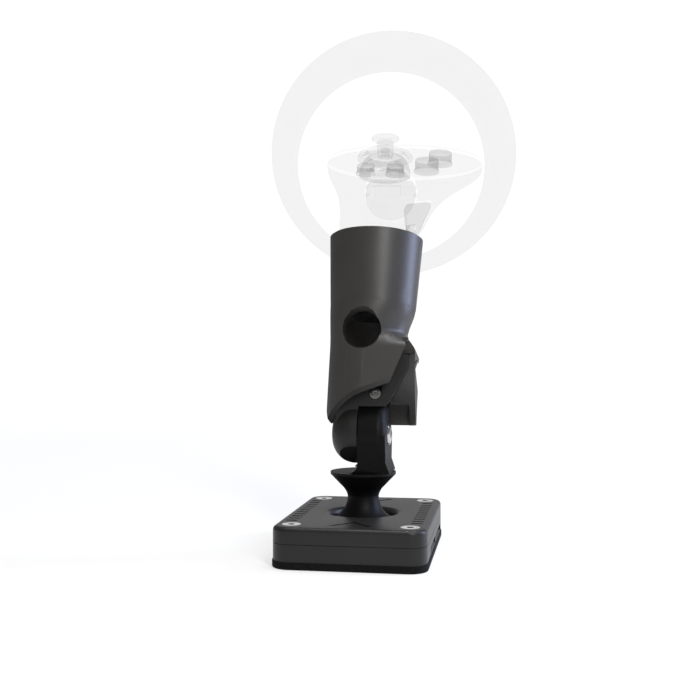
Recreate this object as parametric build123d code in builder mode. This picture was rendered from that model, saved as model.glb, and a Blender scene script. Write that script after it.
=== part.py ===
from build123d import *
from math import cos, pi, radians, sin, sqrt, tan
import os

os.makedirs("parts", exist_ok=True)

# Millimetres. +X right, +Y away from the user, +Z up; origin at the centre of the base's underside.

# Base
base_w = 70.0
base_d = 100.0
corner_r = 8.4
foot_top = 3.4
seam_z = 11.4
cover_z = 18.8
wall = 2.4
hole_r = 16.0
lip_r = 3.0
screw_x = 27.0
screw_y = 40.0
floor_z = foot_top + 2.0

# Two-axis joint under the stick
pivot_z = 10.3
post_in = 5.5
post_out = 8.5
pin_r = 1.5
run = 0.05

# Stick
spool_low = 15.6
disc_low = 37.4
disc_top = 38.6
disc_r = 16.0
shaft_r = 4.0
shaft_top = 42.0

# Wrist hinge, axis along X
hinge_z = 57.0
arm_left = -1.0
arm_right = 12.5
arm_r = 15.0
dome_left = -14.8
dome_right = -1.2
dome_r = 14.5
bolt_r = 3.0

# Cup, along its own leaning axis from the hinge height
CUP = Plane(origin=(1.85, 0, hinge_z), x_dir=(1, 0, -0.026), z_dir=(0.026, 0.1763, 1))
rim = 98.5
rim_r = 23.5
socket_low = 58.0
socket_low_r = 18.3
socket_rim_r = 20.5
chamber_low = 42.0
chamber_r = 14.0
liner = 1.8
cup_wall = 3.0

# Controller head, turned about Z
yaw = 9.17
RIGHT = Vector(cos(radians(yaw)), sin(radians(yaw)), 0)
AWAY = Vector(-sin(radians(yaw)), cos(radians(yaw)), 0)
HEAD = Plane(origin=(14.74, 12.24, 0), x_dir=RIGHT, z_dir=(0, 0, 1))
plate_tilt = 28.0
plate_a = 38.75
plate_b = 27.0
plate_t = 2.5
skin = 2.0
handle_low = 59.0
handle_high = 99.5


def tilted(u, v, w, tilt):
    """A plane at a point of the head, facing up and leaning towards the user by tilt degrees."""
    up = Vector(0, 0, cos(radians(tilt))) - AWAY * sin(radians(tilt))
    return Plane(origin=HEAD.from_local_coords((u, v, w)), x_dir=RIGHT, z_dir=up)


PLATE = tilted(4.3, 0.0, 193.5, plate_tilt)
RING = Plane(origin=HEAD.from_local_coords((0.4, 30, 203)), x_dir=RIGHT, z_dir=AWAY)
HANDLE = Plane(origin=CUP.origin, x_dir=RIGHT - CUP.z_dir * RIGHT.dot(CUP.z_dir), z_dir=CUP.z_dir)
HINGE = Plane(origin=(0, 0, hinge_z), x_dir=(0, 1, 0), z_dir=(1, 0, 0))


def side_of(plane):
    """The plane that holds the given plane's x direction and normal: (across, along)."""
    return Plane(origin=plane.origin, x_dir=plane.x_dir, z_dir=-plane.y_dir)


def shifted(plane, x, y, z=0.0):
    return Plane(origin=plane.from_local_coords((x, y, z)), x_dir=plane.x_dir, z_dir=plane.z_dir)


def outline(plane, points):
    with BuildSketch(plane) as flat:
        with BuildLine():
            Polyline(*points, close=True)
        make_face()
    return flat.sketch


def turn(plane, points, mode=Mode.ADD):
    """Revolves an outline of (radius, height) points about the plane's normal."""
    revolve(outline(side_of(plane), points), axis=Axis(plane.origin, plane.z_dir), mode=mode)


def drum(plane, r, low, high, mode=Mode.ADD):
    """A cylinder on the plane's normal between two heights."""
    with BuildSketch(plane.offset(low)) as flat:
        Circle(r)
    extrude(flat.sketch, amount=high - low, mode=mode)


def slab(plane, x, y, low, high, mode=Mode.ADD):
    """A block between two x values, two y values and two heights of the plane."""
    pts = [(x[0], y[0]), (x[1], y[0]), (x[1], y[1]), (x[0], y[1])]
    extrude(outline(plane.offset(low), pts), amount=high - low, mode=mode)


def prism(plane, points, low, high, mode=Mode.ADD):
    extrude(outline(plane.offset(low), points), amount=high - low, mode=mode)


def hexagon(plane, flats, low, high, mode=Mode.ADD):
    with BuildSketch(plane.offset(low)) as flat:
        RegularPolygon(flats / 2, 6, major_radius=False)
    extrude(flat.sketch, amount=high - low, mode=mode)


def rounded_block(w, d, r, low, high):
    with BuildSketch(Plane.XY.offset(low)) as flat:
        RectangleRounded(w, d, r)
    extrude(flat.sketch, amount=high - low)


def coil(plane, r, wire, low, high, turns):
    """A compression spring of round wire, standing between two heights of the plane."""
    height = high - low - 2 * wire
    start = shifted(plane, 0, 0, low + wire)
    with BuildPart(mode=Mode.PRIVATE) as spring:
        with BuildLine() as path:
            Helix(pitch=height / turns, height=height, radius=r)
        first = path.line @ 0
        with BuildSketch(Plane(origin=first, z_dir=path.line % 0)) as wire_end:
            Circle(wire)
        sweep(wire_end.sketch, path=path.line, is_frenet=True)
    return start.location * spring.part


corners = [(x, y) for x in (-screw_x, screw_x) for y in (-screw_y, screw_y)]

# ---------------------------------------------------------------- base

with BuildPart() as rubber_foot:
    rounded_block(base_w + 0.8, base_d + 0.8, corner_r + 0.4, 0, foot_top)
    fillet(rubber_foot.edges().group_by(Axis.Z)[0], 0.9)
    with BuildSketch(Plane.XY) as groove:
        RectangleRounded(base_w - 12, base_d - 12, 6)
        RectangleRounded(base_w - 15, base_d - 15, 5, mode=Mode.SUBTRACT)
    extrude(groove.sketch, amount=0.8, mode=Mode.SUBTRACT)
rubber_foot.part.label = "rubber_foot"
export_step(rubber_foot.part, "parts/rubber_foot.step")

with BuildPart() as base_tray:
    rounded_block(base_w, base_d, corner_r, foot_top, seam_z - 0.25)
    with BuildSketch(Plane.XY.offset(floor_z)):
        RectangleRounded(base_w - 2 * wall, base_d - 2 * wall, corner_r - wall)
    extrude(amount=10, mode=Mode.SUBTRACT)
    # seam step that the cover sits on, inside the parting line
    with BuildSketch(Plane.XY.offset(seam_z - 0.25)):
        RectangleRounded(base_w - 1.0, base_d - 1.0, corner_r - 0.5)
        RectangleRounded(base_w - 2 * wall, base_d - 2 * wall, corner_r - wall, mode=Mode.SUBTRACT)
    extrude(amount=0.25)
    for x, y in corners:
        drum(shifted(Plane.XY, x, y), 4.5, floor_z, seam_z)
        drum(shifted(Plane.XY, x, y), 2.0, floor_z + 1.0, seam_z, mode=Mode.SUBTRACT)
    # two shallow pockets with a sloping sill in the right-hand wall
    for y in (-26.0, 8.0):
        sill = [(35.1, 3.9), (35.1, 7.4), (33.4, 7.4), (33.4, 5.4)]
        prism(Plane(origin=(0, y, 0), x_dir=(1, 0, 0), z_dir=(0, -1, 0)), sill, -30, 0, mode=Mode.SUBTRACT)
    # bosses' room for the joint bracket screws
    for a in range(4):
        spot = shifted(Plane.XY, 13.5 * cos(radians(45 + 90 * a)), 13.5 * sin(radians(45 + 90 * a)))
        drum(spot, 1.05, foot_top + 0.4, floor_z + 1, mode=Mode.SUBTRACT)
base_tray.part.label = "base_tray"
export_step(base_tray.part, "parts/base_tray.step")

with BuildPart() as base_cover:
    rounded_block(base_w, base_d, corner_r, seam_z, cover_z)
    fillet(base_cover.edges().group_by(Axis.Z)[-1], 2.0)
    with BuildSketch(Plane.XY.offset(seam_z)):
        RectangleRounded(base_w - 2 * wall, base_d - 2 * wall, corner_r - wall)
    extrude(amount=cover_z - 3.0 - seam_z, mode=Mode.SUBTRACT)
    for x, y in corners:
        drum(shifted(Plane.XY, x, y), 4.5, seam_z, cover_z - 2)
    drum(Plane.XY, hole_r, seam_z, cover_z, mode=Mode.SUBTRACT)
    # rounded mouth of the stick hole
    with BuildSketch(Plane.XZ) as mouth:
        with BuildLine():
            Line((hole_r - 1, cover_z + 1), (hole_r - 1, cover_z - lip_r))
            Line((hole_r - 1, cover_z - lip_r), (hole_r, cover_z - lip_r))
            RadiusArc((hole_r, cover_z - lip_r), (hole_r + lip_r, cover_z), lip_r)
            Line((hole_r + lip_r, cover_z), (hole_r + lip_r, cover_z + 1))
            Line((hole_r + lip_r, cover_z + 1), (hole_r - 1, cover_z + 1))
        make_face()
    revolve(mouth.sketch, axis=Axis.Z, mode=Mode.SUBTRACT)
    for x, y in corners:
        cone = [(0, seam_z), (2.1, seam_z), (2.1, 16.45), (4.5, cover_z - 0.1), (4.5, cover_z), (0, cover_z)]
        turn(shifted(Plane.XY, x, y), cone, mode=Mode.SUBTRACT)
    # plain tick marks along both long edges, and a chevron at each end
    for x in (-29.0, 29.0):
        for k in range(11):
            y = k * 6.0 - 30.0
            slab(Plane.XY, (x - 2.6, x + 2.6), (y - 1.0, y + 1.0), cover_z - 0.5, cover_z, mode=Mode.SUBTRACT)
    for s in (-1, 1):
        chevron = [(-10, s * 42), (0, s * 30), (10, s * 42), (7.4, s * 42), (0, s * 33.2), (-7.4, s * 42)]
        prism(Plane.XY, chevron, cover_z - 0.5, cover_z, mode=Mode.SUBTRACT)
base_cover.part.label = "base_cover"
export_step(base_cover.part, "parts/base_cover.step")

with BuildPart() as cover_screws:
    for x, y in corners:
        spot = shifted(Plane.XY, x, y)
        shape = [(0, 8.0), (1.95, 8.0), (1.95, 16.5), (2.05, 16.5), (4.35, 18.75), (4.35, cover_z), (0, cover_z)]
        turn(spot, shape)
        hexagon(spot, 3.0, cover_z - 1.8, cover_z, mode=Mode.SUBTRACT)
cover_screws.part.label = "cover_screws"
export_step(cover_screws.part, "parts/cover_screws.step")

with BuildPart() as ballast_plate:
    with BuildSketch(Plane.XY.offset(floor_z)):
        RectangleRounded(44, 92, 3)
        Circle(19.5, mode=Mode.SUBTRACT)
    extrude(amount=4.0)
ballast_plate.part.label = "ballast_plate"
export_step(ballast_plate.part, "parts/ballast_plate.step")

PIVOT = Plane(origin=(0, 0, pivot_z), x_dir=(1, 0, 0), z_dir=(0, 0, 1))
PIVOT_X = Plane(origin=PIVOT.origin, x_dir=(0, 1, 0), z_dir=(1, 0, 0))
PIVOT_Y = Plane(origin=PIVOT.origin, x_dir=(1, 0, 0), z_dir=(0, 1, 0))

with BuildPart() as gimbal_bracket:
    drum(Plane.XY, 17.5, floor_z, floor_z + 1.5)
    for s in (-1, 1):
        low = min(s * post_in, s * post_out)
        slab(Plane.XY, (low, low + 3), (-3, 3), floor_z + 1, pivot_z)
        drum(PIVOT_X, 3.0, low, low + 3)
    drum(PIVOT_X, pin_r + run, -10, 10, mode=Mode.SUBTRACT)
    # slots that the yoke's ears dip into
    for s in (-1, 1):
        low = min(s * 4.6, s * 9.6)
        slab(Plane.XY, (-3.2, 3.2), (low, low + 5), floor_z - 1, floor_z + 2, mode=Mode.SUBTRACT)
    for a in range(4):
        spot = shifted(Plane.XY, 13.5 * cos(radians(45 + 90 * a)), 13.5 * sin(radians(45 + 90 * a)))
        drum(spot, 1.05, floor_z, floor_z + 2, mode=Mode.SUBTRACT)
gimbal_bracket.part.label = "gimbal_bracket"
export_step(gimbal_bracket.part, "parts/gimbal_bracket.step")

with BuildPart() as gimbal_screws:
    for a in range(4):
        spot = shifted(Plane.XY, 13.5 * cos(radians(45 + 90 * a)), 13.5 * sin(radians(45 + 90 * a)))
        drum(spot, 1.0, foot_top + 0.6, floor_z + 1.5)
        drum(spot, 1.5, floor_z + 1.5, floor_z + 2.6)
gimbal_screws.part.label = "gimbal_screws"
export_step(gimbal_screws.part, "parts/gimbal_screws.step")

with BuildPart() as gimbal_cross:
    slab(PIVOT, (-4.5, 4.5), (-4.5, 4.5), -2.2, 2.2)
    chamfer(gimbal_cross.edges().filter_by(Axis.Z), 1.2)
    drum(PIVOT_X, pin_r, -post_out, post_out)
    drum(PIVOT_Y, pin_r, -post_out, post_out)
gimbal_cross.part.label = "gimbal_cross"
export_step(gimbal_cross.part, "parts/gimbal_cross.step")

with BuildPart() as stick_yoke:
    drum(Plane.XY, 9.0, pivot_z + 5.5, 18.0)
    for s in (-1, 1):
        low = min(s * post_in, s * post_out)
        slab(Plane.XY, (-2.4, 2.4), (low, low + 3), pivot_z, 16.5)
        drum(PIVOT_Y, 2.4, low, low + 3)
    drum(PIVOT_Y, pin_r + run, -10, 10, mode=Mode.SUBTRACT)
    drum(Plane.XY, 3.0, 15, 18, mode=Mode.SUBTRACT)
stick_yoke.part.label = "stick_yoke"
export_step(stick_yoke.part, "parts/stick_yoke.step")

with BuildPart() as stick_shaft:
    drum(Plane.XY, 3.0, pivot_z + 5.5, 18.0)
    drum(Plane.XY, shaft_r, 18.0, shaft_top)
    chamfer(stick_shaft.edges().group_by(Axis.Z)[-1], 0.8)
stick_shaft.part.label = "stick_shaft"
export_step(stick_shaft.part, "parts/stick_shaft.step")

with BuildPart() as centring_spring:
    add(coil(Plane.XY, 11.0, 0.55, floor_z + 1.5, spool_low, 3.0))
centring_spring.part.label = "centring_spring"
export_step(centring_spring.part, "parts/centring_spring.step")

# ---------------------------------------------------------------- stick

with BuildPart() as stick_spool:
    with BuildSketch(Plane.XZ) as profile:
        with BuildLine():
            Line((9.05, spool_low), (13.2, spool_low))
            TangentArc((13.2, spool_low), (13.7, 16.35), tangent=(1, 0))
            RadiusArc((13.7, 16.35), (7.6, 26.8), 12.0)
            ThreePointArc((7.6, 26.8), (8.5, 29.2), (10.6, 31.8))
            Line((10.6, 31.8), (disc_r, disc_low))
            Line((disc_r, disc_low), (shaft_r, disc_low))
            Line((shaft_r, disc_low), (shaft_r, 18.0))
            Line((shaft_r, 18.0), (9.05, 18.0))
            Line((9.05, 18.0), (9.05, spool_low))
        make_face()
    revolve(profile.sketch, axis=Axis.Z)
stick_spool.part.label = "stick_spool"
export_step(stick_spool.part, "parts/stick_spool.step")

with BuildPart() as stick_arm:
    # web: front outline with a root fillet on the left and a flare on the right
    with BuildSketch(Plane(origin=(0, 16, 0), x_dir=(1, 0, 0), z_dir=(0, -1, 0))) as front:
        with BuildLine():
            Line((arm_left, hinge_z), (arm_left, disc_top + 5))
            RadiusArc((arm_left, disc_top + 5), (arm_left - 5, disc_top), 5)
            Line((arm_left - 5, disc_top), (14.4, disc_top))
            Line((14.4, disc_top), (arm_right, 44))
            Line((arm_right, 44), (arm_right, hinge_z))
            Line((arm_right, hinge_z), (arm_left, hinge_z))
        make_face()
    extrude(front.sketch, amount=32)
    web = [(-14.9, hinge_z), (-12.0, disc_top - 1), (12.0, disc_top - 1), (14.9, hinge_z)]
    with BuildSketch(Plane(origin=(-10, 0, 0), x_dir=(0, 1, 0), z_dir=(1, 0, 0))) as side:
        with BuildLine():
            Polyline(*web, close=True)
        make_face()
    extrude(side.sketch, amount=40, mode=Mode.INTERSECT)
    # round head with a softened outer edge
    with BuildSketch(Plane.XY.offset(hinge_z)) as head:
        with BuildLine():
            Line((arm_left, 0), (arm_left, arm_r - 0.6))
            Line((arm_left, arm_r - 0.6), (arm_left + 0.6, arm_r))
            Line((arm_left + 0.6, arm_r), (arm_right - 4.5, arm_r))
            RadiusArc((arm_right - 4.5, arm_r), (arm_right, arm_r - 4.5), 4.5)
            Line((arm_right, arm_r - 4.5), (arm_right, 0))
            Line((arm_right, 0), (arm_left, 0))
        make_face()
    revolve(head.sketch, axis=Axis((0, 0, hinge_z), (1, 0, 0)))
    drum(Plane.XY, disc_r, disc_low, disc_top)
    drum(Plane.XY, shaft_r, disc_low - 1, shaft_top, mode=Mode.SUBTRACT)
    # bolt hole, counterbore for its head, recess for the friction washer
    drum(HINGE, bolt_r + run, -5, 20, mode=Mode.SUBTRACT)
    drum(HINGE, 6.0, 8.6, 20, mode=Mode.SUBTRACT)
    drum(HINGE, 10.05, arm_left, arm_left + 0.8, mode=Mode.SUBTRACT)
    # grub screw hole from behind
    drum(Plane(origin=(1.0, 0, 40.5), x_dir=(1, 0, 0), z_dir=(0, 1, 0)), 1.25, 3.0, 20, mode=Mode.SUBTRACT)
stick_arm.part.label = "stick_arm"
export_step(stick_arm.part, "parts/stick_arm.step")

with BuildPart() as arm_grub_screw:
    grub = Plane(origin=(1.0, 0, 40.5), x_dir=(1, 0, 0), z_dir=(0, 1, 0))
    drum(grub, 1.2, shaft_r + 0.02, 10.0)
    hexagon(grub, 1.2, 8.8, 10.0, mode=Mode.SUBTRACT)
arm_grub_screw.part.label = "arm_grub_screw"
export_step(arm_grub_screw.part, "parts/arm_grub_screw.step")

# ---------------------------------------------------------------- wrist hinge

with BuildPart() as friction_washer:
    drum(HINGE, 10.0, dome_right, arm_left + 0.8)
    drum(HINGE, bolt_r + run, -5, 5, mode=Mode.SUBTRACT)
friction_washer.part.label = "friction_washer"
export_step(friction_washer.part, "parts/friction_washer.step")

with BuildPart() as hinge_bolt:
    drum(HINGE, bolt_r, -14.0, 8.6)
    shape = [(0, 8.6), (5.5, 8.6), (5.5, 12.6), (5.0, 13.3), (3.8, 13.7), (0, 13.7)]
    turn(HINGE, shape)
    hexagon(HINGE, 4.0, 11.2, 14.0, mode=Mode.SUBTRACT)
hinge_bolt.part.label = "hinge_bolt"
export_step(hinge_bolt.part, "parts/hinge_bolt.step")

with BuildPart() as hinge_nut:
    hexagon(HINGE, 10.0, -14.2, -9.4)
    drum(HINGE, bolt_r, -15, -9, mode=Mode.SUBTRACT)
hinge_nut.part.label = "hinge_nut"
export_step(hinge_nut.part, "parts/hinge_nut.step")

def bay(plane, inset, low, high, mode=Mode.ADD):
    """The lower sleeve's section: round on the left, squarer on the right."""
    left, right, half = -20.4 + inset, 22.6 - inset, 20.0 - inset
    with BuildSketch(plane.offset(low)) as flat:
        with BuildLine():
            Line((0, half), (right - 4, half))
            RadiusArc((right - 4, half), (right, half - 4), 4)
            Line((right, half - 4), (right, 4 - half))
            RadiusArc((right, 4 - half), (right - 4, -half), 4)
            Line((right - 4, -half), (0, -half))
            ThreePointArc((0, -half), (left, 0), (0, half))
        make_face()
    extrude(flat.sketch, amount=high - low, mode=mode)


def beyond(point, normal, mode=Mode.SUBTRACT):
    """Removes everything on the normal's side of a plane."""
    slab(Plane(origin=point, z_dir=normal), (-220, 220), (-220, 220), 0, 220, mode=mode)


def socket_r(h):
    return socket_low_r + (h - socket_low) * (socket_rim_r - socket_low_r) / (rim - socket_low)


mouth_cuts = [
    ((15.9, -15, 85.2), (0.289, -0.660, -0.694)),
    ((0, 0, 60.0), (0, 0, -1)),
    ((-18.2, 0, 69.5), (-0.94, 0, -0.34)),
    ((-16.6, 0, 63.5), (-0.70, 0, -0.71)),
]

block_screws = [(4.3, 18.6), (-9.0, 27.0)]

# the bay keeps a solid rib on the right, behind the slanting side of the hinge block
with BuildPart() as rib:
    rib_side = Plane(origin=(0, 0, 0), x_dir=(0, 1, 0), z_dir=(1, 0, 0))
    prism(rib_side, [(-1, 110), (1, 83), (14.5, 59), (30, 59), (30, 110)], 4, 40)
    beyond((11.75, -8, 70), (-0.87, 0, 0.49))
    drum(HINGE, arm_r + 0.8, -30, 40, mode=Mode.SUBTRACT)
with BuildPart() as void:
    bay(CUP, cup_wall, -5, 38.2)
bay_void = void.part - rib.part

# the mouth's slanting right edge, cut only as far back as the folded front of the rib
with BuildPart() as mouth:
    slab(Plane(origin=(15.9, -15, 85.2), z_dir=(0.872, 0.094, -0.375)), (-220, 220), (-220, 220), 0, 220)
    prism(rib_side, [(-1, 110), (1, 83), (14.5, 59), (14.5, -300), (300, -300), (300, 300), (-1, 300)], -300, 300,
          mode=Mode.SUBTRACT)

with BuildPart() as cup:
    bay(CUP, 0, 0, 45.5)
    beyond((25.0, -11, 103), (0.990, 0.089, 0.105))
    # waisted upper sleeve
    turn(CUP, [(0, 38), (17.6, 38), (17.6, 48.5), (18.6, 53), (20.6, 58.5), (21.4, 62.5), (22.1, 74),
               (rim_r, rim - 0.6), (rim_r - 0.8, rim), (0, rim)])
    # the left side stays full down to the bay
    with BuildSketch(CUP.offset(44)) as full:
        Circle(21.0)
        with Locations((21.0, 0)):
            Rectangle(36, 60, mode=Mode.SUBTRACT)
    extrude(full.sketch, amount=18)
    add(bay_void, mode=Mode.SUBTRACT)
    for spot, way in mouth_cuts:
        beyond(spot, way)
    add(mouth.part, mode=Mode.SUBTRACT)
    turn(CUP, [(0, chamber_low), (chamber_r, chamber_low), (chamber_r, socket_low),
               (socket_low_r, socket_low), (socket_rim_r, rim), (socket_rim_r, rim + 3), (0, rim + 3)],
         mode=Mode.SUBTRACT)
    # round opening in the front, with a bevelled mouth
    for x, z in block_screws:
        spot = Plane(origin=CUP.from_local_coords((x, 0, z)), x_dir=CUP.x_dir, z_dir=-CUP.y_dir)
        drum(spot, 2.0, -18.7, -10, mode=Mode.SUBTRACT)
    window = Plane(origin=CUP.from_local_coords((-2.9, 0, 48.6)), x_dir=CUP.x_dir, z_dir=-CUP.y_dir)
    turn(window, [(0, 5), (9.3, 5), (9.3, 18.4), (10.6, 21.0), (10.6, 30), (0, 30)], mode=Mode.SUBTRACT)
cup.part.label = "cup"
export_step(cup.part, "parts/cup.step")

with BuildPart() as cup_liner:
    turn(CUP, [(socket_r(socket_low) - 0.02, socket_low), (socket_r(rim - 0.4) - 0.02, rim - 0.4),
               (socket_r(rim - 0.4) - liner, rim - 0.4), (socket_r(socket_low) - liner, socket_low)])
cup_liner.part.label = "cup_liner"
export_step(cup_liner.part, "parts/cup_liner.step")

# the block that carries the hinge dome and fills the back of the bay
BACK = Plane(origin=CUP.origin, x_dir=CUP.x_dir, z_dir=CUP.y_dir)

with BuildPart() as hinge_block:
    slab(CUP, (-18, 20), (-9.8, 20), 4, 38.1)
    bay(CUP, cup_wall + 0.05, 0, 38.1, mode=Mode.INTERSECT)
    beyond((11.7, -8, 70), (0.87, 0, -0.49))
    # room for the arm's head, and the hinge dome
    drum(HINGE, arm_r + 0.6, dome_right - 0.02, 40, mode=Mode.SUBTRACT)
    with BuildSketch(Plane.XY.offset(hinge_z)) as dome:
        with BuildLine():
            Line((dome_right, 0), (dome_right, dome_r))
            Line((dome_right, dome_r), (dome_left + 11.5, dome_r))
            RadiusArc((dome_left + 11.5, dome_r), (dome_left, 3.0), -11.5)
            Line((dome_left, 3.0), (dome_left, 0))
            Line((dome_left, 0), (dome_right, 0))
        make_face()
    revolve(dome.sketch, axis=Axis((0, 0, hinge_z), (1, 0, 0)))
    beyond((0, -6.9, hinge_z - 9.8), (0, -0.57, -0.82))
    drum(HINGE, bolt_r + run, -20, 5, mode=Mode.SUBTRACT)
    hexagon(HINGE, 10.04, -20, -9.4, mode=Mode.SUBTRACT)
    for x, z in block_screws:
        spot = Plane(origin=CUP.from_local_coords((x, 0, z)), x_dir=CUP.x_dir, z_dir=-CUP.y_dir)
        drum(spot, 2.05, -30, 30, mode=Mode.SUBTRACT)
        drum(spot, 3.0, 5.9, 30, mode=Mode.SUBTRACT)
        prism(spot, [(-2.1, 2.1), (3.4, 5.4), (3.0, -0.6)], 5.9, 30, mode=Mode.SUBTRACT)
hinge_block.part.label = "hinge_block"
export_step(hinge_block.part, "parts/hinge_block.step")

with BuildPart() as block_screw_pair:
    for x, z in block_screws:
        spot = Plane(origin=CUP.from_local_coords((x, 0, z)), x_dir=CUP.x_dir, z_dir=-CUP.y_dir)
        drum(spot, 1.98, -18.2, 5.9)
        drum(spot, 2.7, 5.9, 9.3)
        hexagon(spot, 2.5, 7.3, 9.4, mode=Mode.SUBTRACT)
block_screw_pair.part.label = "block_screws"
export_step(block_screw_pair.part, "parts/block_screws.step")

# ---------------------------------------------------------------- controller body


def handle_r(h):
    return socket_r(h) - liner - 0.08


def body_solid(inset, low=handle_low):
    """Handle cone and flaring head, shrunk by inset on all sides but the top."""
    spots = [
        (HANDLE.offset(handle_high), handle_r(handle_high), handle_r(handle_high)),
        (shifted(HEAD, -6.0, 6.5, 163), 22.3, 20.5),
        (tilted(-3.2, 5.2, 171, 7), 25.1, 23.2),
        (tilted(2.0, 2.0, 180.5, 16), 33.4, 25.3),
        (PLATE.offset(-plate_t), plate_a, plate_b),
    ]
    faces = []
    for plane, a, b in spots:
        with BuildSketch(plane) as flat:
            Ellipse(a - inset, b - inset)
        faces.append(flat.sketch.faces()[0])
    with BuildPart(mode=Mode.PRIVATE) as body:
        loft(faces)
        turn(HANDLE, [(0, low + inset), (handle_r(low) - inset, low + inset),
                      (handle_r(handle_high) - inset, handle_high), (0, handle_high)])
    return body.part


outer_body = body_solid(0)
inner_body = body_solid(skin)
inner_slack = body_solid(skin + 0.05)
skin_body = outer_body - inner_body

# trigger, at the far side of the head; across, away, up
trig_v = 25.0
trig_w = 181.5
TRIGGER = Plane(origin=HEAD.from_local_coords((-1.3, trig_v, trig_w)), x_dir=AWAY, z_dir=RIGHT)
EGG = Plane(origin=HEAD.from_local_coords((-1.3, 0, 180.6)), x_dir=RIGHT, z_dir=AWAY)
# grip button, on the right-hand far side
grip_out = (RIGHT + AWAY) / sqrt(2)
grip_side = (AWAY - RIGHT) / sqrt(2)
GRIP = Plane(origin=HEAD.from_local_coords((-3.4, 5.2, 167)), x_dir=grip_side, z_dir=grip_out)
GRIP_PIN = Plane(origin=GRIP.from_local_coords((0, -6.5, 16.2)), x_dir=grip_out, z_dir=grip_side)


def grip_outline(extra, lift=0.0):
    with BuildSketch(GRIP) as flat:
        with BuildLine():
            Polyline((-6.3 - extra, 7.6 + extra + lift), (6.3 + extra, 7.6 + extra + lift), (7.0 + extra, 4.0),
                     (3.4 + extra, -9.2 - extra), (-3.4 - extra, -9.2 - extra), (-7.0 - extra, 4.0), close=True)
        make_face()
        fillet(flat.vertices(), 2.0)
    return flat.sketch


def openings():
    """Cuts for the trigger and the grip button."""
    with BuildSketch(EGG.offset(14)) as egg:
        Ellipse(14.1, 14.6)
    extrude(egg.sketch, amount=30, mode=Mode.SUBTRACT)
    extrude(grip_outline(0.4, 0.9), amount=40, mode=Mode.SUBTRACT)


case_spots = [(-9.5, 66.0), (9.5, 66.0), (-11.5, 98.0), (11.5, 98.0)]

with BuildPart() as body_front:
    add(skin_body)
    for x, z in case_spots:
        spot = Plane(origin=HANDLE.from_local_coords((x, 0, z)), x_dir=HANDLE.x_dir, z_dir=-HANDLE.y_dir)
        drum(spot, 2.4, 0, 20)
    add(outer_body, mode=Mode.INTERSECT)
    beyond(HANDLE.origin, HANDLE.y_dir)
    for x, z in case_spots:
        spot = Plane(origin=HANDLE.from_local_coords((x, 0, z)), x_dir=HANDLE.x_dir, z_dir=-HANDLE.y_dir)
        drum(spot, 1.0, -1, 7, mode=Mode.SUBTRACT)
body_front.part.label = "body_front"
export_step(body_front.part, "parts/body_front.step")

with BuildPart() as body_rear:
    add(skin_body)
    for x, z in case_spots:
        spot = Plane(origin=HANDLE.from_local_coords((x, 0, z)), x_dir=HANDLE.x_dir, z_dir=HANDLE.y_dir)
        drum(spot, 2.4, 0, 20)
    openings()
    # ears for the trigger's pin
    slab(TRIGGER, (-3.2, 2.8), (-3.4, 3.4), 10.9, 24)
    slab(TRIGGER, (-3.2, 2.8), (-3.4, 3.4), -24, -10.9)
    # ears for the grip button's pin
    slab(GRIP_PIN, (-1.8, 1.2), (-2.2, 2.2), 3.6, 11.5)
    slab(GRIP_PIN, (-1.8, 1.2), (-2.2, 2.2), -11.5, -3.6)
    add(outer_body, mode=Mode.INTERSECT)
    beyond(HANDLE.origin, -HANDLE.y_dir)
    drum(TRIGGER, 1.2, -14, 14, mode=Mode.SUBTRACT)
    drum(GRIP_PIN, 0.7, -6.6, 6.6, mode=Mode.SUBTRACT)
    for x, z in case_spots:
        spot = Plane(origin=HANDLE.from_local_coords((x, 0, z)), x_dir=HANDLE.x_dir, z_dir=HANDLE.y_dir)
        drum(spot, 1.2, -1, 30, mode=Mode.SUBTRACT)
        drum(spot, 2.0, 6.0, 30, mode=Mode.SUBTRACT)
body_rear.part.label = "body_rear"
export_step(body_rear.part, "parts/body_rear.step")

with BuildPart() as case_screws:
    for x, z in case_spots:
        spot = Plane(origin=HANDLE.from_local_coords((x, 0, z)), x_dir=HANDLE.x_dir, z_dir=HANDLE.y_dir)
        drum(spot, 0.98, -6.0, 6.0)
        drum(spot, 1.9, 6.0, 7.4)
case_screws.part.label = "case_screws"
export_step(case_screws.part, "parts/case_screws.step")

with BuildPart() as trigger:
    paddle = [(1.0, 12.6), (4.5, 11.5), (8.0, 6.5), (11.0, 0), (12.0, -6), (10.8, -11.5), (7.6, -14.8), (6.0, -14.0),
              (8.6, -9.5), (9.2, -5), (8.0, -2.0), (0, -2.6), (-0.5, 2.6), (5.0, 3.0), (5.2, 6.0), (2.2, 10.2),
              (0.0, 11.8)]
    prism(TRIGGER, paddle, -13.25, 13.25)
    with BuildSketch(EGG.offset(10)) as egg:
        Ellipse(13.25, 13.5)
    extrude(egg.sketch, amount=40, mode=Mode.INTERSECT)
    drum(TRIGGER, 3.2, -9.6, 5.0)
    slab(TRIGGER, (-4, 3.3), (-3.8, 3.8), 5.0, 14, mode=Mode.SUBTRACT)
    slab(TRIGGER, (-4, 3.3), (-3.8, 3.8), -14, -10.0, mode=Mode.SUBTRACT)
    drum(TRIGGER, 1.25, -14, 14, mode=Mode.SUBTRACT)
trigger.part.label = "trigger"
export_step(trigger.part, "parts/trigger.step")

with BuildPart() as trigger_pin:
    drum(TRIGGER, 1.2, -13.8, 13.8)
trigger_pin.part.label = "trigger_pin"
export_step(trigger_pin.part, "parts/trigger_pin.step")

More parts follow.
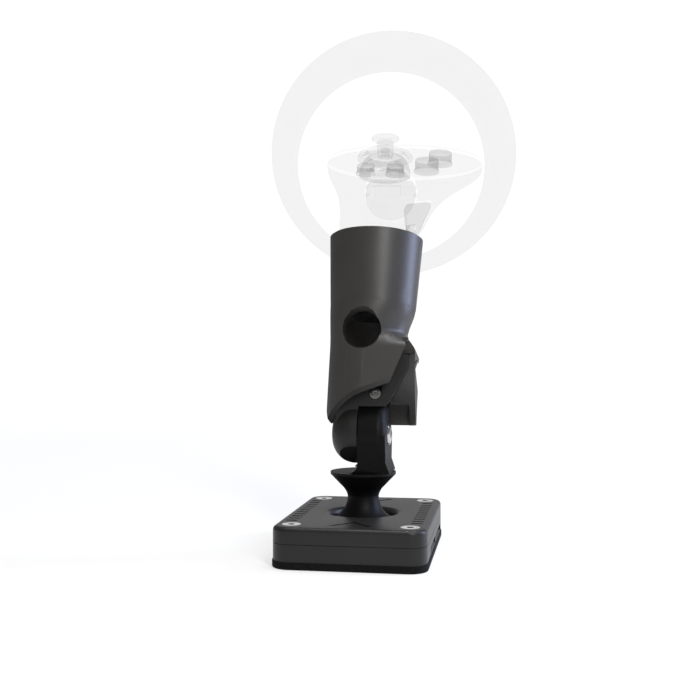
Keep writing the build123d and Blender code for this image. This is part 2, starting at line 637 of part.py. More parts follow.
with BuildPart() as grip_button:
    extrude(grip_outline(0.0), amount=40)
    add(body_solid(-1.0), mode=Mode.INTERSECT)
    add(body_solid(skin + 0.6), mode=Mode.SUBTRACT)
    for s in (-1, 1):
        low = min(s * 3.4, s * 13)
        slab(GRIP_PIN, (-4, 1.5), (-2.6, 2.6), low, low + 9.6, mode=Mode.SUBTRACT)
    drum(GRIP_PIN, 2.2, -3.3, 0.8)
    drum(GRIP_PIN, 1.5, 0.8, 3.7, mode=Mode.SUBTRACT)
    drum(GRIP_PIN, 0.75, -9, 9, mode=Mode.SUBTRACT)
grip_button.part.label = "grip_button"
export_step(grip_button.part, "parts/grip_button.step")

with BuildPart() as grip_pin:
    drum(GRIP_PIN, 0.7, -6.5, 6.5)
grip_pin.part.label = "grip_pin"
export_step(grip_pin.part, "parts/grip_pin.step")

with BuildPart() as trigger_spring:
    add(coil(TRIGGER, 2.2, 0.35, 5.1, 10.8, 5.0))
trigger_spring.part.label = "trigger_spring"
export_step(trigger_spring.part, "parts/trigger_spring.step")

with BuildPart() as grip_spring:
    add(coil(GRIP_PIN, 1.15, 0.22, 0.9, 3.5, 4.0))
grip_spring.part.label = "grip_spring"
export_step(grip_spring.part, "parts/grip_spring.step")

BATTERY = shifted(HANDLE, 0, 0, 0)
with BuildPart() as battery:
    turn(BATTERY, [(0, 66), (6.6, 66), (7.1, 66.5), (7.1, 114.5), (6.6, 115), (2.6, 115), (2.6, 116.2), (0, 116.2)])
battery.part.label = "battery"
export_step(battery.part, "parts/battery.step")

with BuildPart() as battery_spring:
    add(coil(BATTERY, 4.2, 0.4, handle_low + skin, 66.0, 3.0))
battery_spring.part.label = "battery_spring"
export_step(battery_spring.part, "parts/battery_spring.step")

with BuildPart() as battery_contact:
    slab(BATTERY, (-5, 5), (-3, 3), 116.2, 116.8)
    slab(BATTERY, (-5, -4.4), (-3, 3), 116.2, 121.0)
battery_contact.part.label = "battery_contact"
export_step(battery_contact.part, "parts/battery_contact.step")

with BuildPart() as battery_cradle:
    drum(BATTERY, 8.6, 72, 118)
    for low in (74.0, 90.0):
        drum(BATTERY, handle_r(low) - skin - 0.05, low, low + 2.0)
    add(inner_slack, mode=Mode.INTERSECT)
    drum(BATTERY, 7.15, 60, 116.85, mode=Mode.SUBTRACT)
    beyond(HANDLE.origin, -HANDLE.y_dir)
    slab(BATTERY, (-5.1, 5.1), (-3.1, 3.1), 115, 122, mode=Mode.SUBTRACT)
battery_cradle.part.label = "battery_cradle"
export_step(battery_cradle.part, "parts/battery_cradle.step")

# ---------------------------------------------------------------- face plate and controls

stick_at = (-9.3, 11.0)
thumb_drop = 12.2
THUMB = shifted(PLATE, stick_at[0], stick_at[1], -thumb_drop)
THUMB_X = Plane(origin=THUMB.origin, x_dir=THUMB.y_dir, z_dir=THUMB.x_dir)
THUMB_Y = Plane(origin=THUMB.origin, x_dir=THUMB.x_dir, z_dir=THUMB.y_dir)
# name, across, away, radius, height above the plate
button_set = [
    ("button_upper", 18.2, 3.8, 5.75, 2.5),
    ("button_lower", 10.5, -9.0, 5.75, 2.5),
    ("button_menu", -19.6, -12.8, 4.3, 1.0),
    ("button_home", -5.2, -14.0, 4.3, 1.0),
]
board_top = -9.0
board_low = -10.6

with BuildPart() as face_plate:
    with BuildSketch(PLATE.offset(-plate_t)) as disc:
        Ellipse(plate_a, plate_b)
    extrude(disc.sketch, amount=plate_t)
    fillet(face_plate.edges().sort_by(Axis(PLATE.origin, PLATE.z_dir))[-1], 1.2)
    drum(shifted(PLATE, *stick_at), 13.5, -5, 1, mode=Mode.SUBTRACT)
    for name, x, y, r, high in button_set:
        drum(shifted(PLATE, x, y), r + 0.08, -5, 1, mode=Mode.SUBTRACT)
face_plate.part.label = "face_plate"
export_step(face_plate.part, "parts/face_plate.step")

with BuildPart() as bezel_collar:
    turn(shifted(PLATE, *stick_at), [(13.45, -2.5), (13.45, -0.6), (12.5, -0.2), (9.4, 1.3), (9.0, 0.9), (12.2, -2.5)])
    turn(shifted(PLATE, *stick_at), [(12.2, -3.6), (14.2, -3.6), (14.2, -2.5), (12.2, -2.5)])
    drum(THUMB, 5.0, 11, 16, mode=Mode.SUBTRACT)
    with Locations(THUMB.location):
        Sphere(13.4, mode=Mode.SUBTRACT)
    add(outer_body - inner_slack, mode=Mode.SUBTRACT)

with BuildPart() as thumb_bezel:
    add(bezel_collar.solids().sort_by(SortBy.VOLUME)[-1])
thumb_bezel.part.label = "thumb_bezel"
export_step(thumb_bezel.part, "parts/thumb_bezel.step")

with BuildPart() as dome_shell:
    with Locations(THUMB.location):
        Sphere(13.25)
        Sphere(12.35, mode=Mode.SUBTRACT)
    beyond(THUMB.origin, -THUMB.z_dir)
    beyond(THUMB.from_local_coords((0, 0, 9.7)), THUMB.z_dir)
    drum(THUMB, 13.0, 0, 0.8)
    slab(THUMB, (-7.22, 7.22), (-6.62, 6.62), -1, 2, mode=Mode.SUBTRACT)
    add(outer_body - inner_slack, mode=Mode.SUBTRACT)
    # room for the trigger's paddle
    slab(TRIGGER, (-1.5, 20), (-20, 14), -13.6, 13.6, mode=Mode.SUBTRACT)

with BuildPart() as thumb_dome_cover:
    add(dome_shell.solids().sort_by(SortBy.VOLUME)[-1])
thumb_dome_cover.part.label = "thumb_dome_cover"
export_step(thumb_dome_cover.part, "parts/thumb_dome_cover.step")

with BuildPart() as thumb_stem:
    with Locations(THUMB.location):
        Sphere(12.2)
        Sphere(11.2, mode=Mode.SUBTRACT)
    beyond(THUMB.from_local_coords((0, 0, 8.9)), -THUMB.z_dir)
    drum(THUMB, 4.2, 11.6, thumb_drop + 5.5)
    drum(THUMB, 3.6, 9.4, 12.8)
    drum(THUMB, 2.1, 9, thumb_drop + 2.0, mode=Mode.SUBTRACT)
thumb_stem.part.label = "thumb_stem"
export_step(thumb_stem.part, "parts/thumb_stem.step")

with BuildPart() as thumb_cap:
    base = thumb_drop + 5.5
    turn(THUMB, [(0, base), (5.6, base), (6.95, base + 0.9), (6.95, base + 2.1), (6.2, base + 3.0), (5.2, base + 3.1),
                 (4.4, base + 2.5), (0, base + 2.2)])
    for k in range(24):
        a = 2 * pi * k / 24
        spot = shifted(THUMB, 6.95 * cos(a), 6.95 * sin(a))
        drum(spot, 0.35, base, base + 4, mode=Mode.SUBTRACT)
thumb_cap.part.label = "thumb_cap"
export_step(thumb_cap.part, "parts/thumb_cap.step")

with BuildPart() as thumb_post:
    drum(THUMB, 2.0, 3.5, thumb_drop + 0.6)
    slab(THUMB, (-1.8, 1.8), (-4.9, 4.9), 2.4, 3.6)
    for s in (-1, 1):
        low = min(s * 3.5, s * 4.9)
        slab(THUMB, (-1.6, 1.6), (low, low + 1.4), 0, 3)
        drum(THUMB_Y, 1.6, low, low + 1.4)
    drum(THUMB_Y, 0.85, -6, 6, mode=Mode.SUBTRACT)
thumb_post.part.label = "thumb_post"
export_step(thumb_post.part, "parts/thumb_post.step")

with BuildPart() as thumb_press_spring:
    add(coil(THUMB, 1.3, 0.22, thumb_drop + 0.6, thumb_drop + 2.0, 2.0))
thumb_press_spring.part.label = "thumb_press_spring"
export_step(thumb_press_spring.part, "parts/thumb_press_spring.step")

with BuildPart() as thumb_cross:
    slab(THUMB, (-2.4, 2.4), (-2.4, 2.4), -1.2, 1.2)
    drum(THUMB_X, 0.8, -7.1, 7.1)
    drum(THUMB_Y, 0.8, -4.9, 4.9)
thumb_cross.part.label = "thumb_cross"
export_step(thumb_cross.part, "parts/thumb_cross.step")

with BuildPart() as thumb_module:
    slab(THUMB, (-7.2, 7.2), (-6.6, 6.6), -4.6, 1.6)
    slab(THUMB, (-5.4, 5.4), (-5.5, 5.5), -3.8, 2.0, mode=Mode.SUBTRACT)
    drum(THUMB_X, 0.85, -7.5, 7.5, mode=Mode.SUBTRACT)
    add(outer_body - inner_slack, mode=Mode.SUBTRACT)
thumb_module.part.label = "thumb_module"
export_step(thumb_module.part, "parts/thumb_module.step")

with BuildPart() as main_board:
    with BuildSketch(PLATE.offset(board_low)) as board:
        Ellipse(27.5, 17.0)
        with Locations(stick_at):
            Circle(13.3, mode=Mode.SUBTRACT)
    extrude(board.sketch, amount=board_top - board_low)
main_board.part.label = "main_board"
export_step(main_board.part, "parts/main_board.step")

for name, x, y, r, high in button_set:
    spot = shifted(PLATE, x, y)
    with BuildPart() as button:
        turn(spot, [(0, -4.0), (r + 0.5, -4.0), (r + 0.5, -3.2), (r, -3.2), (r, high - 0.6), (r - 0.6, high), (0, high)])
    button.part.label = name
    export_step(button.part, f"parts/{name}.step")

with BuildPart() as button_switches:
    for name, x, y, r, high in button_set:
        spot = shifted(PLATE, x, y)
        slab(spot, (-2.6, 2.6), (-2.6, 2.6), board_top, -7.8)
        drum(spot, 1.5, -7.8, -5.1)
button_switches.part.label = "button_switches"
export_step(button_switches.part, "parts/button_switches.step")

with BuildPart() as vibration_motor:
    motor = Plane(origin=PLATE.from_local_coords((13.0, -8.0, board_low - 4.6)), x_dir=PLATE.x_dir, z_dir=PLATE.y_dir)
    drum(motor, 4.6, 0, 11)
    drum(motor, 1.0, -2, 0)
vibration_motor.part.label = "vibration_motor"
export_step(vibration_motor.part, "parts/vibration_motor.step")

# ---------------------------------------------------------------- tracking ring

ring_deep = 36.0
ring_front_r = 65.4
ring_rear_r = 58.9
band = 6.2
shell_t = 1.5


def band_outline(low, high, front, rear):
    """Cross-section of part of the band: (radius, depth) between two offsets below the outer surface."""
    slope = (ring_rear_r - ring_front_r) / ring_deep
    return [(ring_front_r + slope * front - low, front), (ring_front_r + slope * rear - low, rear),
            (ring_front_r + slope * rear - high, rear), (ring_front_r + slope * front - high, front)]


with BuildPart() as ring_outer_shell:
    turn(RING, band_outline(0, band / 2, 0, ring_deep))
    fillet(ring_outer_shell.edges().filter_by(GeomType.CIRCLE).sort_by(SortBy.RADIUS)[-1], 1.2)
    turn(RING, band_outline(shell_t, band, shell_t, ring_deep - shell_t), mode=Mode.SUBTRACT)
ring_outer_shell.part.label = "ring_outer_shell"
export_step(ring_outer_shell.part, "parts/ring_outer_shell.step")

with BuildPart() as ring_inner_shell:
    turn(RING, band_outline(band / 2 + 0.02, band, 0, ring_deep))
    fillet(ring_inner_shell.edges().filter_by(GeomType.CIRCLE).sort_by(SortBy.RADIUS)[0], 1.0)
    turn(RING, band_outline(0, band - shell_t, shell_t, ring_deep - shell_t), mode=Mode.SUBTRACT)
ring_inner_shell.part.label = "ring_inner_shell"
export_step(ring_inner_shell.part, "parts/ring_inner_shell.step")

with BuildPart() as ring_strip:
    turn(RING, band_outline(band - shell_t - 0.4, band - shell_t, 6, ring_deep - 6))
ring_strip.part.label = "ring_strip"
export_step(ring_strip.part, "parts/ring_strip.step")

with BuildPart() as ring_lights:
    for k in range(16):
        a = 2 * pi * (k + 0.5) / 16
        for depth in (10.0, 24.0):
            r = ring_front_r - (ring_front_r - ring_rear_r) * depth / ring_deep - (band - shell_t - 0.4)
            out = RING.x_dir * cos(a) + RING.y_dir * sin(a)
            spot = Plane(origin=RING.from_local_coords((r * cos(a), r * sin(a), depth)), x_dir=RING.z_dir, z_dir=out)
            slab(spot, (-1.4, 1.4), (-1.2, 1.2), 0.35, 1.6)
ring_lights.part.label = "ring_lights"
export_step(ring_lights.part, "parts/ring_lights.step")

with BuildPart() as ring_bridge:
    bridge = Plane(origin=HEAD.from_local_coords((0.5, 0, 0)), x_dir=AWAY, z_dir=RIGHT)
    prism(bridge, [(14, 154.5), (30.5, 154.5), (33.5, 151), (35.0, 142), (62, 142), (62, 150.6), (52, 152.4), (38, 156),
                   (30, 161), (14, 161)], -9.0, 14.8)
    add(outer_body, mode=Mode.SUBTRACT)
    extrude(grip_outline(1.2), amount=40, mode=Mode.SUBTRACT)
    turn(RING, band_outline(-30, band + 0.02, -10, 50), mode=Mode.SUBTRACT)
ring_bridge.part.label = "ring_bridge"
export_step(ring_bridge.part, "parts/ring_bridge.step")
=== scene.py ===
import math

import bmesh
import bpy
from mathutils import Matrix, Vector
from mathutils.bvhtree import BVHTree


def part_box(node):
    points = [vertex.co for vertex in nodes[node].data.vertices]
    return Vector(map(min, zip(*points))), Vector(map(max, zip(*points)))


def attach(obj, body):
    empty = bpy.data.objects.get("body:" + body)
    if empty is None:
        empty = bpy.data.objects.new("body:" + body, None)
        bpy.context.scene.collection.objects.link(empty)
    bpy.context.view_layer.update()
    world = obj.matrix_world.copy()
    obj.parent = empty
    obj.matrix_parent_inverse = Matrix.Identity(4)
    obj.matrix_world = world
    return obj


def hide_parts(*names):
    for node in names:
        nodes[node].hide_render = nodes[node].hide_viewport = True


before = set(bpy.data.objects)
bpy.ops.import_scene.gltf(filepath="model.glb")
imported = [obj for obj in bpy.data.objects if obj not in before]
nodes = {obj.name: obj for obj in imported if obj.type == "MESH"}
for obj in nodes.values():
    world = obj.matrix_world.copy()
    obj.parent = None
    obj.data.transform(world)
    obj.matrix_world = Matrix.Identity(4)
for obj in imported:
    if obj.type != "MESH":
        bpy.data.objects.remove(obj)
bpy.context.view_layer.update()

scene = bpy.context.scene

SAME_SPOT = 2e-6  # corners closer than this are one corner
CREASE = math.radians(28)  # edges sharper than this stay sharp
UP_PLATE = (0.0748, -0.4635, 0.8829)  # the way the face plate looks

# ------------------------------------------------------------------ smooth CAD surfaces


def smoothing_group(angle):
    """Geometry nodes that weld a mesh and shade it smooth except across edges sharper than angle."""
    group = bpy.data.node_groups.new("soft_edges", "GeometryNodeTree")
    group.interface.new_socket("Geometry", in_out="INPUT", socket_type="NodeSocketGeometry")
    group.interface.new_socket("Geometry", in_out="OUTPUT", socket_type="NodeSocketGeometry")
    add = group.nodes.new
    start, end = add("NodeGroupInput"), add("NodeGroupOutput")
    weld = add("GeometryNodeMergeByDistance")
    weld.inputs["Distance"].default_value = SAME_SPOT
    faces = add("GeometryNodeSetShadeSmooth")
    edges = add("GeometryNodeSetShadeSmooth")
    edges.domain = "EDGE"
    edges.inputs["Shade Smooth"].default_value = False
    bend = add("GeometryNodeInputMeshEdgeAngle")
    sharp = add("FunctionNodeCompare")
    sharp.data_type = "FLOAT"
    sharp.operation = "GREATER_THAN"
    sharp.inputs[1].default_value = angle
    link = group.links.new
    link(start.outputs[0], weld.inputs["Geometry"])
    link(weld.outputs[0], faces.inputs["Geometry"])
    link(faces.outputs[0], edges.inputs["Geometry"])
    link(bend.outputs["Unsigned Angle"], sharp.inputs[0])
    link(sharp.outputs[0], edges.inputs["Selection"])
    link(edges.outputs[0], end.inputs[0])
    return group


soft = smoothing_group(CREASE)


def smooth(obj):
    """Lets the modifier, not the imported normals, decide how an object is shaded."""
    if "custom_normal" in obj.data.attributes:
        obj.data.attributes.remove(obj.data.attributes["custom_normal"])
    obj.modifiers.new("soft_edges", "NODES").node_group = soft


# ------------------------------------------------------------------ moulded cup

CUP_AT = Vector((0.00185, 0, 0.057))
CUP_UP = Vector((0.026, 0.1763, 1)).normalized()
CUP_RIGHT = (Vector((1, 0, -0.026)) - CUP_UP * Vector((1, 0, -0.026)).dot(CUP_UP)).normalized()
CUP_AWAY = CUP_UP.cross(CUP_RIGHT)
# heights in mm along the cup's axis: the blended zone, and the ledge on top of the hood
BLEND_LOW, BLEND_HIGH, LEDGE = 38.4, 62.5, 45.5
SLICES, SPOKES = 28, 36
# height and radius in mm of the CAD sleeve
SLEEVE = [(38, 17.6), (48.5, 17.6), (53, 18.6), (58.5, 20.6), (62.5, 21.4), (74, 22.1)]
# the flat that trims the hood's right-hand side
HOOD_FLAT_AT = Vector((0.025, -0.011, 0.103))
HOOD_FLAT_OUT = Vector((0.990, 0.089, 0.105)).normalized()
NEAR_WALL = 0.35  # mm between a corner and an outline it counts as part of


def ease(value, low, high):
    t = min(1.0, max(0.0, (value - low) / (high - low)))
    return t * t * (3 - 2 * t)


def sleeve_r(h):
    """Radius in mm of the waisted sleeve at a height."""
    for (h0, r0), (h1, r1) in zip(SLEEVE, SLEEVE[1:]):
        if h <= h1:
            return r0 + (r1 - r0) * (h - h0) / (h1 - h0)
    return SLEEVE[-1][1]


def hood_r(c, s):
    """Distance in mm from the axis to the hood's outline in the direction (c, s)."""
    if c <= 0:
        return -0.2 * c + math.sqrt(20.2 ** 2 - 0.04 * s * s)
    flat = min(22.6 / max(c, 1e-6), 20.0 / max(abs(s), 1e-6))
    if flat * c > 18.6 and flat * abs(s) > 16.0:
        along = 18.6 * c + 16.0 * abs(s)
        return along + math.sqrt(max(0.0, 16.0 - (18.6 ** 2 + 16.0 ** 2 - along ** 2)))
    return flat


def blended_r(h, c, s):
    """The outline in mm that runs from the hood into the sleeve with no step."""
    waist = (sleeve_r(h - 1.5) + sleeve_r(h) + sleeve_r(h + 1.5)) / 3
    full = 20.6 + 0.8 * ease(h, 44, 62.5)
    upper = full + (waist - full) * ease(c, -0.1, 0.75)
    return hood_r(c, s) + (upper - hood_r(c, s)) * ease(h, 40.0, 50.0)


def soft_cup():
    """A copy of the CAD cup whose outer surface blends from hood to sleeve."""
    bm = bmesh.new()
    bm.from_mesh(nodes["cup"].data)
    bmesh.ops.remove_doubles(bm, verts=bm.verts[:], dist=SAME_SPOT)

    def split(point, normal):
        """Cuts the faces around the blended zone along a plane, so that there are corners to move."""
        near = [f for f in bm.faces
                if max((v.co - CUP_AT).dot(CUP_UP) for v in f.verts) > 0.0375
                and min((v.co - CUP_AT).dot(CUP_UP) for v in f.verts) < 0.066]
        edges = {e for f in near for e in f.edges}
        corners = {v for f in near for v in f.verts}
        geom = list(corners) + list(edges) + near
        bmesh.ops.bisect_plane(bm, geom=geom, plane_co=point, plane_no=normal, dist=1e-7)

    for k in range(SLICES):
        split(CUP_AT + CUP_UP * (0.0384 + 0.0009 * k), CUP_UP)
    for k in range(SPOKES):
        a = math.pi * (k + 0.5) / SPOKES
        split(CUP_AT, CUP_RIGHT * math.sin(a) - CUP_AWAY * math.cos(a))
    bmesh.ops.triangulate(bm, faces=[f for f in bm.faces if len(f.verts) > 3])
    for v in bm.verts:
        p = v.co - CUP_AT
        h = p.dot(CUP_UP) * 1000
        if not BLEND_LOW < h < BLEND_HIGH:
            continue
        x, y = p.dot(CUP_RIGHT) * 1000, p.dot(CUP_AWAY) * 1000
        r = math.hypot(x, y)
        c, s = x / r, y / r
        on_flat = abs((v.co - HOOD_FLAT_AT).dot(HOOD_FLAT_OUT)) < 3e-4
        on_hood = h < LEDGE + 0.1 and (abs(r - hood_r(c, s)) < NEAR_WALL or on_flat)
        on_ledge = abs(h - LEDGE) < 0.1 and r > 17.3
        on_sleeve = abs(r - sleeve_r(h)) < NEAR_WALL
        on_rim = abs(r - 21.0) < 0.3 and h > 43.9
        if on_hood or on_ledge or on_sleeve or on_rim:
            v.co += (CUP_RIGHT * c + CUP_AWAY * s) * (blended_r(h, c, s) - r) / 1000
    mesh = bpy.data.meshes.new("cup_sleeve")
    bm.to_mesh(mesh)
    bm.free()
    obj = bpy.data.objects.new("cup_sleeve", mesh)
    scene.collection.objects.link(obj)
    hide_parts("cup")
    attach(obj, "wrist")
    return obj


# ------------------------------------------------------------------ materials


def new_material(name):
    """An empty node material, with the functions that add a node and a link to it."""
    m = bpy.data.materials.new(name)
    m.use_nodes = True
    m.node_tree.nodes.clear()
    return m, m.node_tree.nodes.new, m.node_tree.links.new


def noise(add, link, scale, detail=4.0, stretch=(1, 1, 1)):
    """A noise value that rides on the object."""
    coord = add("ShaderNodeTexCoord")
    place = add("ShaderNodeMapping")
    place.inputs["Scale"].default_value = stretch
    tex = add("ShaderNodeTexNoise")
    tex.inputs["Scale"].default_value = scale
    tex.inputs["Detail"].default_value = detail
    link(coord.outputs["Object"], place.inputs["Vector"])
    link(place.outputs[0], tex.inputs["Vector"])
    return tex.outputs["Fac"]


def spread(add, link, value, low, high):
    """Maps a 0.3 to 0.7 noise value to low..high."""
    remap = add("ShaderNodeMapRange")
    remap.inputs["From Min"].default_value = 0.3
    remap.inputs["From Max"].default_value = 0.7
    remap.inputs["To Min"].default_value = low
    remap.inputs["To Max"].default_value = high
    link(value, remap.inputs["Value"])
    return remap.outputs[0]


def tinted(add, link, colour, value, low, high):
    """The colour brightened or darkened between low and high by a noise value."""
    mix = add("ShaderNodeMix")
    mix.data_type = "RGBA"
    mix.inputs["A"].default_value = tuple(c * low for c in colour) + (1,)
    mix.inputs["B"].default_value = tuple(min(1.0, c * high) for c in colour) + (1,)
    link(spread(add, link, value, 0, 1), mix.inputs["Factor"])
    return mix.outputs["Result"]


def solid(name, colour, rough, metal=0.0, grain=1500.0, bump=0.06, wear=60.0, stretch=(1, 1, 1), spec=0.5,
          sheen=0.0):
    """Moulded or machined surface: slow tone changes, fine grain in roughness and height."""
    m, add, link = new_material(name)
    out = add("ShaderNodeOutputMaterial")
    skin = add("ShaderNodeBsdfPrincipled")
    slow = noise(add, link, wear, 3)
    fine = noise(add, link, grain, 2, stretch)
    link(tinted(add, link, colour, slow, 0.9, 1.1), skin.inputs["Base Color"])
    link(spread(add, link, fine, rough * 0.85, min(1.0, rough * 1.15)), skin.inputs["Roughness"])
    skin.inputs["Metallic"].default_value = metal
    skin.inputs["Specular IOR Level"].default_value = spec
    skin.inputs["Sheen Weight"].default_value = sheen
    height = add("ShaderNodeBump")
    height.inputs["Strength"].default_value = bump
    height.inputs["Distance"].default_value = 0.0002
    link(fine, height.inputs["Height"])
    link(height.outputs[0], skin.inputs["Normal"])
    link(skin.outputs[0], out.inputs["Surface"])
    return m


# directions around a face's normal in which mark_skin looks for the open air
LOOK_AROUND = (0.3, 1.35, 2.4, 3.45, 4.5, 5.5)
LOOK_SLOPE = 0.6
OPEN_WAYS = 5


def mark_skin(names, reach, around=(), facing=None):
    """Stores 1 on the outermost faces of a group of shells, and 0 on faces that look into a hollow.

    The pieces in around close the group off. With facing, only the faces turned that way count as outermost.
    """
    corners, faces = [], []
    for n in [*names, *around]:
        base = len(corners)
        corners += [v.co.copy() for v in nodes[n].data.vertices]
        faces += [[base + i for i in p.vertices] for p in nodes[n].data.polygons]
    tree = BVHTree.FromPolygons(corners, faces)
    for n in names:
        mesh = nodes[n].data
        flag = mesh.attributes.new("skin", "FLOAT", "FACE")
        for p in mesh.polygons:
            across = p.normal.orthogonal().normalized()
            other = p.normal.cross(across)
            ways = [p.normal] + [p.normal + (across * math.cos(a) + other * math.sin(a)) * LOOK_SLOPE
                                 for a in LOOK_AROUND]
            start = p.center + p.normal * 2e-5
            open_ways = sum(tree.ray_cast(start, way.normalized(), reach)[0] is None for way in ways)
            turned = facing is None or p.normal.dot(Vector(facing)) > 0.1
            flag.data[p.index].value = 1.0 if open_ways >= OPEN_WAYS and turned else 0.0


def ghost(name, pass_through, skin_only=False, side=None):
    """See-through moulding: each surface lets pass_through of the light on, with no bending or gloss.

    With skin_only, faces that mark_skin didn't mark take nothing. With side, faces that don't look along
    the face plate's normal let only that share through, which is painted shade darkening those side walls.
    """
    m, add, link = new_material(name)
    out = add("ShaderNodeOutputMaterial")
    clear = add("ShaderNodeBsdfTransparent")
    cloud = noise(add, link, 60, 3)
    value = spread(add, link, cloud, pass_through - 0.002, min(1.0, pass_through + 0.002))
    # painted shade: faces turned away from the face plate's normal let less through, so side walls look darker
    if side is not None:
        geometry, lean, size, cut, mix = (add("ShaderNodeNewGeometry"), add("ShaderNodeVectorMath"),
                                          add("ShaderNodeMath"), add("ShaderNodeMath"), add("ShaderNodeMix"))
        lean.operation = "DOT_PRODUCT"
        lean.inputs[1].default_value = UP_PLATE
        size.operation = "ABSOLUTE"
        cut.operation = "LESS_THAN"
        cut.inputs[1].default_value = 0.5
        link(geometry.outputs["True Normal"], lean.inputs[0])
        link(lean.outputs["Value"], size.inputs[0])
        link(size.outputs[0], cut.inputs[0])
        mix.inputs["B"].default_value = side
        link(cut.outputs[0], mix.inputs["Factor"])
        link(value, mix.inputs["A"])
        value = mix.outputs["Result"]
    if skin_only:
        flag, pick = add("ShaderNodeAttribute"), add("ShaderNodeMix")
        flag.attribute_name = "skin"
        pick.inputs["A"].default_value = 1.0
        link(flag.outputs["Fac"], pick.inputs["Factor"])
        link(value, pick.inputs["B"])
        value = pick.outputs["Result"]
    shade = add("ShaderNodeCombineColor")
    for socket in ("Red", "Green", "Blue"):
        link(value, shade.inputs[socket])
    link(shade.outputs[0], clear.inputs["Color"])
    link(clear.outputs[0], out.inputs["Surface"])
    return m


mats = {
    "rubber": solid("foot_rubber", (0.003, 0.003, 0.003), 0.8, grain=900, bump=0.12, spec=0.15),
    "base_plastic": solid("base_satin_plastic", (0.0115, 0.0112, 0.011), 0.42, grain=1800, bump=0.05, spec=0.32),
    "cup_plastic": solid("cup_matt_plastic", (0.034, 0.032, 0.030), 0.42, grain=2600, bump=0.22),
    "stick_plastic": solid("stick_satin_black", (0.0016, 0.0016, 0.0016), 0.5, grain=2200, bump=0.16, spec=0.14),
    "block_plastic": solid("block_matt_plastic", (0.010, 0.0096, 0.0092), 0.5, grain=2400, bump=0.16, spec=0.35),
    "steel": solid("brushed_steel", (0.42, 0.42, 0.43), 0.35, 1.0, grain=500, bump=0.08, stretch=(1, 1, 14)),
    "chrome": solid("chrome", (0.55, 0.54, 0.53), 0.16, 1.0, grain=900, bump=0.6),
    "dark_soft": solid("liner_foam", (0.012, 0.012, 0.012), 0.9, grain=700, bump=0.3, spec=0.2, sheen=0.1),
    "shell": ghost("shell_see_through", 0.922, skin_only=True),
    # the face plate's top lets more through than the shell: painted light, drawn lighter as if lit from above
    "shell_face": ghost("face_see_through_painted_lit", 0.95, skin_only=True),
    "ring": ghost("ring_see_through", 0.923, skin_only=True),
    "bridge": ghost("bridge_see_through", 0.985),
    # the buttons' side walls let only 0.8 through: painted shade
    "button": ghost("button_see_through_painted_side_shade", 0.955, side=0.8),
    "dome": ghost("dome_see_through", 0.885, skin_only=True),
    "egg": ghost("trigger_see_through", 0.925, skin_only=True),
    "grip": ghost("grip_see_through", 0.88, skin_only=True),
    "cap": ghost("cap_see_through", 0.925, skin_only=True),
    "stem": ghost("stem_see_through", 0.93),
    "collar": ghost("collar_see_through", 0.94),
    "inside": ghost("inside_see_through", 0.9996),
    "hidden_skirt": ghost("skirt_see_through", 0.998),
}

look = {
    "rubber": ["rubber_foot"],
    "base_plastic": ["base_tray", "base_cover"],
    "cup_plastic": ["cup"],
    "stick_plastic": ["stick_spool", "stick_arm"],
    "block_plastic": ["hinge_block"],
    "chrome": ["cover_screws", "hinge_bolt", "block_screws"],
    "steel": ["ballast_plate", "gimbal_bracket", "gimbal_screws", "centring_spring", "gimbal_cross", "stick_yoke",
              "stick_shaft", "arm_grub_screw", "hinge_nut", "friction_washer"],
    "dark_soft": ["cup_liner"],
    "shell": ["body_front", "body_rear"],
    "bridge": ["ring_bridge"],
    "ring": ["ring_outer_shell", "ring_inner_shell"],
    "shell_face": ["face_plate"],
    "button": ["button_upper", "button_lower", "button_menu", "button_home"],
    "egg": ["trigger"],
    "grip": ["grip_button"],
    "dome": ["thumb_dome_cover"],
    "cap": ["thumb_cap"],
    "stem": ["thumb_stem"],
    "collar": ["thumb_bezel"],
}
mark_skin(look["shell"], 0.09, [*look["shell_face"], *look["egg"], *look["grip"], *look["button"], *look["dome"]])
# only the plate's faces turned along UP_PLATE show, and they carry that painted light from above
mark_skin(look["shell_face"], 0.03, facing=UP_PLATE)
mark_skin(look["ring"], 0.04)
mark_skin(look["cap"], 0.02)
for key in ("egg", "grip", "dome"):
    mark_skin(look[key], 0.03)
assigned = {n: key for key, names in look.items() for n in names}
for name, obj in nodes.items():
    obj.data.materials.clear()
    obj.data.materials.append(mats[assigned.get(name, "inside")])
    smooth(obj)
# the thumbstick's hidden skirt is fainter than the stem it is part of
STEM_REACH = 0.0048  # metres from the thumbstick's axis
stem = nodes["thumb_stem"].data
stem.materials.append(mats["hidden_skirt"])
top_low, top_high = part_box("thumb_cap")
axis_at, axis_up = (top_low + top_high) / 2, Vector(UP_PLATE).normalized()
for p in stem.polygons:
    arm = p.center - axis_at
    if (arm - axis_up * arm.dot(axis_up)).length > STEM_REACH:
        p.material_index = 1
cup = soft_cup()
cup.data.materials.append(mats["cup_plastic"])
cup.modifiers.new("soft_edges", "NODES").node_group = soft

# ------------------------------------------------------------------ floor, light, camera

bpy.ops.mesh.primitive_plane_add(size=12, location=(0, 0, 0))
floor = bpy.context.object
floor.name = "floor"
m, add, link = new_material("floor_paper")
out, glow, paper, both, seen, level = (add("ShaderNodeOutputMaterial"), add("ShaderNodeEmission"),
                                       add("ShaderNodeBsdfDiffuse"), add("ShaderNodeAddShader"),
                                       add("ShaderNodeLightPath"), add("ShaderNodeMix"))
where, far = add("ShaderNodeNewGeometry"), add("ShaderNodeVectorMath")
far.operation = "LENGTH"
link(where.outputs["Position"], far.inputs[0])
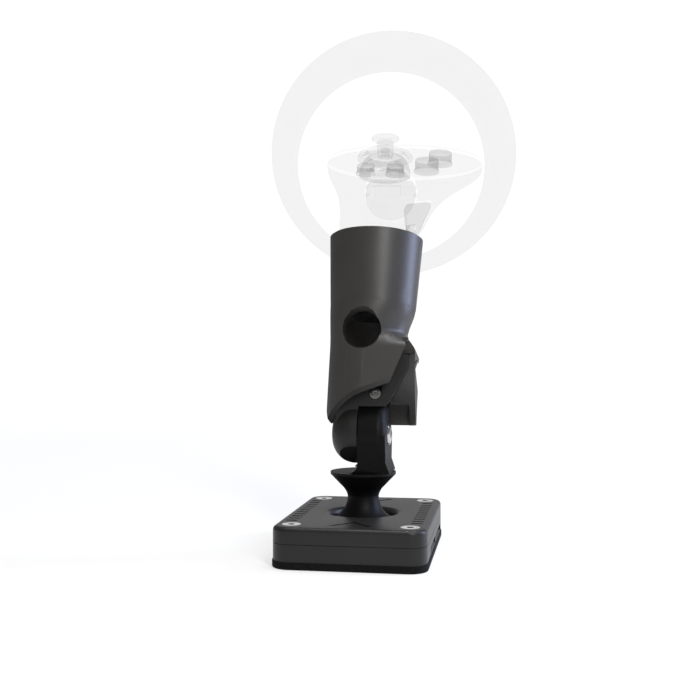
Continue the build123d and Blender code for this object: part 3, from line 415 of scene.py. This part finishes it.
# A is the glow that lights the product and B is the glow that the camera sees, close by and far away
for socket, near_glow, far_glow in (("A", 0.62, 0.22), ("B", 0.58, 0.95)):
    fade = add("ShaderNodeMapRange")
    fade.inputs["From Min"].default_value = 0.25
    fade.inputs["From Max"].default_value = 1.5
    fade.inputs["To Min"].default_value = near_glow
    fade.inputs["To Max"].default_value = far_glow
    link(far.outputs["Value"], fade.inputs["Value"])
    link(fade.outputs[0], level.inputs[socket])
link(seen.outputs["Is Camera Ray"], level.inputs["Factor"])
link(level.outputs["Result"], glow.inputs["Strength"])
link(tinted(add, link, (0.36, 0.36, 0.36), noise(add, link, 3, 2), 0.99, 1.01), paper.inputs["Color"])
link(glow.outputs[0], both.inputs[0])
link(paper.outputs[0], both.inputs[1])
link(both.outputs[0], out.inputs["Surface"])
floor.data.materials.append(m)

world = bpy.data.worlds.new("studio")
scene.world = world
world.use_nodes = True
add, link = world.node_tree.nodes.new, world.node_tree.links.new
world.node_tree.nodes.clear()
out, back, mix = add("ShaderNodeOutputWorld"), add("ShaderNodeBackground"), add("ShaderNodeMix")
seen = add("ShaderNodeLightPath")
mix.data_type = "FLOAT"
mix.inputs["A"].default_value = 0.22  # light on the product
mix.inputs["B"].default_value = 1.05  # backdrop for the camera
link(seen.outputs["Is Camera Ray"], mix.inputs["Factor"])
back.inputs["Color"].default_value = (1, 1, 1, 1)
link(mix.outputs["Result"], back.inputs["Strength"])
link(back.outputs[0], out.inputs["Surface"])


def lamp(name, at, aim, size, power, colour=(1, 1, 1)):
    """A rectangular lamp at one point, turned to another."""
    data = bpy.data.lights.new(name, "AREA")
    data.shape = "RECTANGLE"
    data.size, data.size_y = size
    data.energy = power
    data.color = colour
    obj = bpy.data.objects.new(name, data)
    scene.collection.objects.link(obj)
    obj.location = at
    obj.rotation_euler = (Vector(aim) - Vector(at)).to_track_quat("-Z", "Y").to_euler()
    return obj


lamp("key", (0.42, -0.72, 0.62), (0, 0, 0.1), (0.16, 0.7), 6.0)
lamp("rim", (0.75, 0.30, 0.35), (0, 0, 0.13), (0.2, 0.7), 7.0, (0.62, 0.70, 1.0))
lamp("top", (0.1, 0.05, 1.1), (0, 0, 0.05), (0.7, 0.7), 9.0)
lamp("back", (0.1, 1.3, 0.30), (0, 0, 0.03), (1.4, 0.3), 1.1)

cam = bpy.data.objects.new("camera", bpy.data.cameras.new("camera"))
scene.collection.objects.link(cam)
cam.location = (0.0695, -0.4712, 0.0958)
cam.rotation_euler = (math.radians(90.24), 0, math.radians(9.17))
cam.data.lens = 50
cam.data.sensor_width = 36
cam.data.clip_start = 0.01
scene.camera = cam
scene.view_settings.view_transform = "Standard"
scene.cycles.transparent_max_bounces = 96
